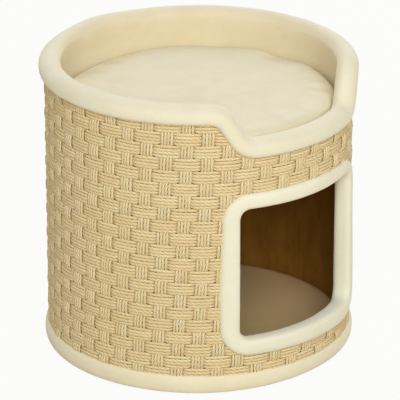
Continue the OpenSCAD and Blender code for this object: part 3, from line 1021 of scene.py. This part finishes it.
band = {
    "thick": 0.002,
    "tuck": 0.036,          # how far the cover goes in under the base
    "tuckSteps": 6,
    "pleats": 72,
    "pleatDepth": 0.0005,
    "topDrop": 0.0016,      # the cover's upper edge is pulled down a little
    "lift": 0.0005,         # and its lower edge up,
    "doorLift": 0.0034,     # more so under the doorway:
    "liftFrom": (-50, 65),  # it begins at this bearing and is full after so many degrees,
    "liftTo": (40, 50),     # and ends so
    "clear": 0.0002,        # from the woven wall
    "root": 0.001,          # how deep the roll starts behind that,
    "back": 0.006,          # and the cover's hidden back,
    "backDrop": 0.004,      # which ends this far below the upper edge
    "backRise": 0.0004,     # and above the lower one
    "inset": 0.004,         # the tuck starts this far inside the wall
    "gap": 0.0001,          # under the base
    "bulge": 22,            # points round the roll
    "sides": 432,
    "fill": 0.8,
}
bandLow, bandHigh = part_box("base_cover")


def buildBand():
    low = bandLow.z
    high = bandHigh.z - band["topDrop"]
    wall = wallOuter + band["clear"]
    root = wall - band["root"]
    back = wall - band["back"]
    half = (high - low) / 2
    middle = (high + low) / 2
    depth = bandHigh.x - wall
    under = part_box("base_board")[0].z
    tucked = under - band["thick"]
    tuckStart = wallInner - band["inset"]
    tuckEnd = tuckStart - band["tuck"]
    profile = [(back, high - band["backDrop"])]
    for t in np.linspace(math.pi / 2, -math.pi / 2, band["bulge"]):
        profile.append((root + (depth + band["root"]) * max(0.0, math.cos(t)), middle + half * math.sin(t)))
    profile.append((back, low + band["backRise"]))
    steps = band["tuckSteps"]
    profile += [(mixed(tuckStart, tuckEnd, i / steps), tucked) for i in range(steps + 1)]
    profile += [(tuckEnd, under - band["gap"]), (back, under - band["gap"])]

    def pleated(radius, z, angle):
        if radius > wallInner:
            bearing = math.degrees(math.remainder(angle, math.tau))
            ramps = (band["liftFrom"], band["liftTo"])
            begun, ended = (smoothShare((bearing - at) / over) for at, over in ramps)
            lift = band["lift"] + band["doorLift"] * begun * (1 - ended)
            z += lift * min(1.0, (high - z) / (high - low))
        if z == tucked:
            share = (wallInner - radius) / band["tuck"]
            wave = 0.5 + 0.5 * math.cos(band["pleats"] * angle + 3 * share)
            z -= band["pleatDepth"] * share * wave
        return radius, z

    footBand = turnedPiece("foot_band", profile, band["sides"], pleated)
    finishPiece(footBand, "foot", "plush_trim", "house", "base_cover", "base_foam")


buildBand()
print("foot band made")


lining = {
    "thick": 0.0075,
    # how far its upper points lie below the rim's middle line
    "drops": (-0.006, -0.004, -0.002, 0.0, 0.002, 0.004, 0.006, 0.008, 0.010, 0.012),
    "over": 0.00012,        # how far it lies over the rim roll
    "sink": 0.00022,        # its upper edge sinks into the roll
    "sinkOver": 0.004,
    "blend": 0.028,         # height in which it goes over to the wall
    "steps": 14,            # from there down
    "soft": 0.0004,
    "softScale": 18,
    "softFrom": 0.014,
    "root": 0.008,          # its upper edge inside the roll
    "fill": 0.5,
}
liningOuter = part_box("bed_lining")[1].x
liningInner = liningOuter - lining["thick"]


def liningPath(x, z, a, low):
    # from the inner side of the rim roll down to the deck
    face = rimRadius - rim["width"] / 2
    path = []
    for q in lining["drops"]:
        if q < 0:
            square = rim["innerSquare"]
            share = -q / (rim["height"] / 2 - rim["topShort"])
            radius = rimRadius - rim["width"] / 2 * (1 - share ** square) ** (1 / square) - lining["over"]
            radius += lining["sink"] * (q / lining["sinkOver"]) ** 2
        else:
            radius = mixed(face, liningInner, smoothShare(q / lining["blend"])) - lining["over"]
        path.append((radius, x + q * math.sin(a), z - q * math.cos(a)))
    last = path[-1]
    for i in range(1, lining["steps"] + 1):
        level = mixed(last[2], low, i / lining["steps"])
        share = smoothShare((lining["drops"][-1] + last[2] - level) / lining["blend"])
        path.append((mixed(face, liningInner, share) - lining["over"], last[1], level))
    return path


def buildLining():
    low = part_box("bed_lining")[0].z
    line = rimStations()
    scale = lining["softScale"]
    lowest = len(lining["drops"]) - 1
    points = []
    for x, z, a in line:
        path = liningPath(x, z, a, low)
        for radius, place, level in path:
            if level < z - lining["softFrom"]:
                radius += lining["soft"] * noise.noise(Vector((place * scale, level * scale, 2.0)))
            points.append(onDrum(radius, place, level, rimRadius))
        points.append(onDrum(liningOuter, path[-1][1], low, rimRadius))
        points.append(onDrum(liningOuter, path[lowest][1], path[lowest][2], rimRadius))
        points.append(onDrum(rimRadius - lining["root"], path[0][1], path[0][2], rimRadius))
    mesh = meshFrom("bed_wall", points, gridFaces(len(line), len(path) + 3))
    faceOutwards(mesh)
    bedWall = addObject("bed_wall", mesh)
    finishPiece(bedWall, "lining", "plush_lining", "house", "bed_lining")


buildLining()
print("bed wall made")


sheets = {
    "rings": 24,
    "sides": 96,
    "ripple": 0.12,         # share of the thickness
    "rippleScale": 30,
    "edge": ((0.4, 0.0), (0.0, 0.4), (0.0, 0.8), (0.3, 1.0)),  # inwards and down, in thicknesses
    "pieces": (             # piece, node, finish, slot, what it lies on
        ("deck_plush", "deck_cover", "lining", "plush_lining", "deck_board"),
        ("cave_floor", "floor_cover", "floor", "plush_lining", "base_board"),
        ("dust_cloth", "base_dust_cloth", "dustCloth", "dust_cloth", "base_board"),
    ),
}


def buildSheets():
    rings = sheets["rings"]
    scale = sheets["rippleScale"]
    for name, node, finish, slot, board in sheets["pieces"]:
        low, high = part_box(node)
        radius = high.x
        thick = high.z - low.z
        profile = [(radius * i / rings, high.z) for i in range(rings)]
        profile += [(radius - thick * inwards, high.z - thick * down) for inwards, down in sheets["edge"]]
        profile.append((0.0, low.z))

        def rippled(r, z, angle):
            if z == high.z:
                spot = Vector((r * math.sin(angle) * scale, r * math.cos(angle) * scale, 5.0))
                z += thick * sheets["ripple"] * noise.noise(spot)
            return r, z

        disc = turnedPiece(name, profile, sheets["sides"], rippled)
        finishPiece(disc, finish, slot, "house", node)


buildSheets()
print("sheets made")


cushion = {
    "seam": 0.018,          # height of the side seam
    "lip": 0.003,           # the panels bend into it over and under
    "crown": 0.0005,
    "puff": 0.0015,         # filling over the flat cover's height
    "edge": 1 / 12,         # smaller is squarer
    "bow": 0.3,
    "wide": 0.0018,         # over the flat cover's radius
    "pressed": 0.0022,      # how far the roll at the dip presses it in
    "pressFrom": 0.35,      # to this bearing fully, and a little beyond
    "pressOver": 0.35,
    "uneven": 0.0014,       # height of the edge's bumps
    "bumpScale": 2.1,
    "dents": 0.003,         # share of the radius
    "dentScale": 3.3,
    "topBlend": 0.012,      # height over the seam in which bumps and folds set in
    "folds": ((190, 24, -0.0042), (112, 8, 0.0019), (93, 9, -0.0022)),  # bearing, width, rise of its edge
    "rings": 32,
    "sides": 160,
    "voxel": 0.005,
    "restHeight": 0.0015,   # the underside is held up to here
    "startWide": 0.998,     # it starts smaller, because it swells
    "startHigh": 0.985,
    "cloth": {
        "quality": 6,
        "mass": 0.3,
        "tension_stiffness": 80,
        "compression_stiffness": 80,
        "shear_stiffness": 40,
        "bending_stiffness": 6.0,
        "air_damping": 2.0,
        "use_pressure": True,
        "uniform_pressure_force": 4.0,
    },
    "frames": 20,
    "most": 0.005,          # how far a point may move
    "seamDraw": 0.0022,     # how far the seam is drawn in
    "seamWidth": 0.003,
    "seamFrom": 0.9,        # share of the radius
    "edgeShadeFrom": 0.86,       # painted shade along the edge at the dip, from this share of the radius
    "edgeShadeFull": 0.98,
    "edgeShadeAt": math.radians(-3),
    "edgeShadeWide": math.radians(42),
    "fill": 0.7,
}


def cushionProfile(radius, low, high):
    rings = cushion["rings"]
    rise = high - low - cushion["seam"] - cushion["lip"] - cushion["crown"]
    upper = []
    lower = []
    for i in range(rings + 1):
        t = math.pi / 2 * i / rings
        share = math.sin(t) ** cushion["edge"] if i else 0.0
        bow = math.cos(t) ** cushion["bow"] if i < rings else 0.0
        upper.append((radius * share, low + cushion["seam"] + cushion["lip"] + rise * bow
                      + cushion["crown"] * (1 - share ** 2)))
        lower.append((radius * share, low + (cushion["seam"] - cushion["lip"]) * (1 - bow)))
    return upper + lower[::-1]


def swellCushion(thing, low):
    # the cover is blown up like cloth and kept near the cut form
    remesh = thing.modifiers.new("remesh", "REMESH")
    remesh.mode = "VOXEL"
    remesh.voxel_size = cushion["voxel"]
    bakeModifiers(thing)
    before = readPoints(thing.data)
    held = thing.vertex_groups.new(name="held")
    resting = np.flatnonzero(before[:, 2] < low + cushion["restHeight"])
    held.add([int(i) for i in resting], 1.0, "REPLACE")
    cloth = thing.modifiers.new("cloth", "CLOTH")
    for label, value in cushion["cloth"].items():
        setattr(cloth.settings, label, value)
    cloth.settings.vertex_group_mass = "held"
    cloth.settings.effector_weights.gravity = 0.0
    cloth.collision_settings.use_collision = False
    cloth.point_cache.frame_start = 1
    cloth.point_cache.frame_end = cushion["frames"]
    for number in range(1, cushion["frames"] + 1):
        scene.frame_set(number)
    bakeModifiers(thing)
    scene.frame_set(1)
    move = readPoints(thing.data) - before
    length = np.linalg.norm(move, axis=1, keepdims=True)
    print("cushion swelled by", round(float(length.max()) * 1000, 2), "mm at most")
    move *= cushion["most"] / (cushion["most"] + length)
    writePoints(thing.data, before + move)
    thing.vertex_groups.clear()


def edgeShadeShare(spots, reach, radius):
    # 1 along the edge at the dip, where the cushion is painted darker as shade beside the rim roll
    border = (reach / radius - cushion["edgeShadeFrom"]) / (cushion["edgeShadeFull"] - cushion["edgeShadeFrom"])
    border = np.clip(border, 0.0, 1.0)
    away = (np.arctan2(spots[:, 0], -spots[:, 1]) - cushion["edgeShadeAt"]) / cushion["edgeShadeWide"]
    return border * border * (3 - 2 * border) * np.exp(-away * away)


def buildCushion():
    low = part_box("cushion_base")[0].z
    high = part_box("cushion_top")[1].z + cushion["puff"]
    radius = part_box("cushion_top")[1].x + cushion["wide"]
    wide = cushion["startWide"]
    tall = cushion["startHigh"]

    def ringNoise(angle, scale, layer):
        return noise.noise(Vector((math.sin(angle) * scale, math.cos(angle) * scale, layer)))

    def stuffed(r, z, angle):
        outer = (r / radius) ** 6
        bumps = cushion["uneven"] * ringNoise(angle, cushion["bumpScale"], 4.0)
        dents = cushion["dents"] * ringNoise(angle, cushion["dentScale"], 9.0)
        top = smoothShare((z - low - cushion["seam"]) / cushion["topBlend"])
        front = abs(math.remainder(angle, math.tau))
        past = smoothShare((front - cushion["pressFrom"]) / cushion["pressOver"])
        pressed = cushion["pressed"] * (1 - past)
        folds = sum(rise * math.exp(-((math.degrees(angle) - at) / width) ** 2)
                    for at, width, rise in cushion["folds"])
        return (r * (wide + (dents - pressed / radius) * outer),
                low + (z - low) * tall + (bumps + folds) * outer * top)

    thing = turnedPiece("bed_cushion", cushionProfile(radius, low, high), cushion["sides"], stuffed)
    swellCushion(thing, low)
    fine = thing.modifiers.new("fine", "SUBSURF")
    fine.levels = 1
    fine.render_levels = 1
    bakeModifiers(thing)
    mesh = thing.data
    spots = readPoints(mesh)
    reach = np.hypot(spots[:, 0], spots[:, 1])
    near = np.exp(-((spots[:, 2] - low - cushion["seam"]) / cushion["seamWidth"]) ** 2)
    near *= reach > radius * cushion["seamFrom"]
    spots[:, :2] *= (1 - cushion["seamDraw"] * near / np.maximum(reach, 0.01))[:, None]
    spots[:, 2] = np.maximum(spots[:, 2], low)
    writePoints(mesh, spots)
    smoothFaces(mesh)
    # painted shade along the cushion's edge at the dip
    tones = mesh.attributes.new("secondTone", "FLOAT", "POINT")
    tones.data.foreach_set("value", edgeShadeShare(spots, reach, radius))
    reach = np.hypot(spots[:, 0], spots[:, 1])
    print("cushion reach", round(float(reach.max()), 4), "top", round(float(spots[:, 2].max()), 4))
    finishPiece(thing, "cushion", "plush_cushion", "cushion", "cushion_top", "cushion_base", "cushion_foam")


buildCushion()
print("cushion made")


# Floor, background and light

studio = {
    "world": 0.42,
    "floor": srgb(212, 203, 182),
    "floorGlow": 0.94,      # share of plain white in the floor that the camera sees
    "floorHalf": 6,
    "lamps": {
        "front": {"power": 181.0, "distance": 5.5, "size": 3.0, "azimuth": -37, "elevation": 32},
        "rear": {"power": 78.0, "distance": 5.0, "size": 3.0, "azimuth": 135, "elevation": 36},
    },
}


def seenShare(tree):
    # 1 for what the camera sees, straight or in gloss and glass
    path = addNode(tree, "ShaderNodeLightPath").outputs
    mirrored = mathNode(tree, "MAXIMUM", path["Is Glossy Ray"], path["Is Transmission Ray"])
    return mathNode(tree, "MAXIMUM", path["Is Camera Ray"], mirrored)


def buildStudio():
    world = bpy.data.worlds.new("studio")
    world.use_nodes = True
    scene.world = world
    tree = world.node_tree
    tree.nodes.clear()
    strength = seenShare(tree) * (1.0 - studio["world"]) + studio["world"]
    sky = addNode(tree, "ShaderNodeBackground", {"Color": (1, 1, 1, 1), "Strength": strength})
    output = addNode(tree, "ShaderNodeOutputWorld")
    tree.links.new(sky.outputs[0], output.inputs[0])

    half = studio["floorHalf"]
    corners = [(-half, -half, 0), (half, -half, 0), (half, half, 0), (-half, half, 0)]
    floorMesh = meshFrom("studio_floor", corners, [(0, 1, 2, 3)])
    floor = addObject("studio_floor", floorMesh)
    constants = {"Base Color": studio["floor"], "Roughness": 0.9, "Specular IOR Level": 0.0}
    material, tree, shader = newMaterial("paleFloor", **constants)
    white = seenShare(tree) * studio["floorGlow"]
    glow = addNode(tree, "ShaderNodeEmission", {"Color": (1, 1, 1, 1), "Strength": 1.0})
    blend = addNode(tree, "ShaderNodeMixShader", {0: white, 1: shader.outputs[0], 2: glow.outputs[0]})
    clear = addNode(tree, "ShaderNodeBsdfTransparent")
    below = addNode(tree, "ShaderNodeNewGeometry").outputs["Backfacing"]
    sided = addNode(tree, "ShaderNodeMixShader", {0: below, 1: blend.outputs[0], 2: clear.outputs[0]})
    output = next(n for n in tree.nodes if n.type == "OUTPUT_MATERIAL")
    tree.links.new(sided.outputs[0], output.inputs[0])
    floorMesh.materials.append(material)

    for name, numbers in studio["lamps"].items():
        lamp = bpy.data.lights.new(name + "Light", "AREA")
        lamp.energy = numbers["power"]
        lamp.size = numbers["size"]
        holder = addObject(name + "Light", lamp)
        away = outwards(math.radians(numbers["azimuth"]), math.radians(numbers["elevation"]))
        holder.location = away * numbers["distance"]
        holder.rotation_euler = away.to_track_quat("Z", "Y").to_euler()
    scene.view_settings.view_transform = "Standard"


buildStudio()
print("studio lit")
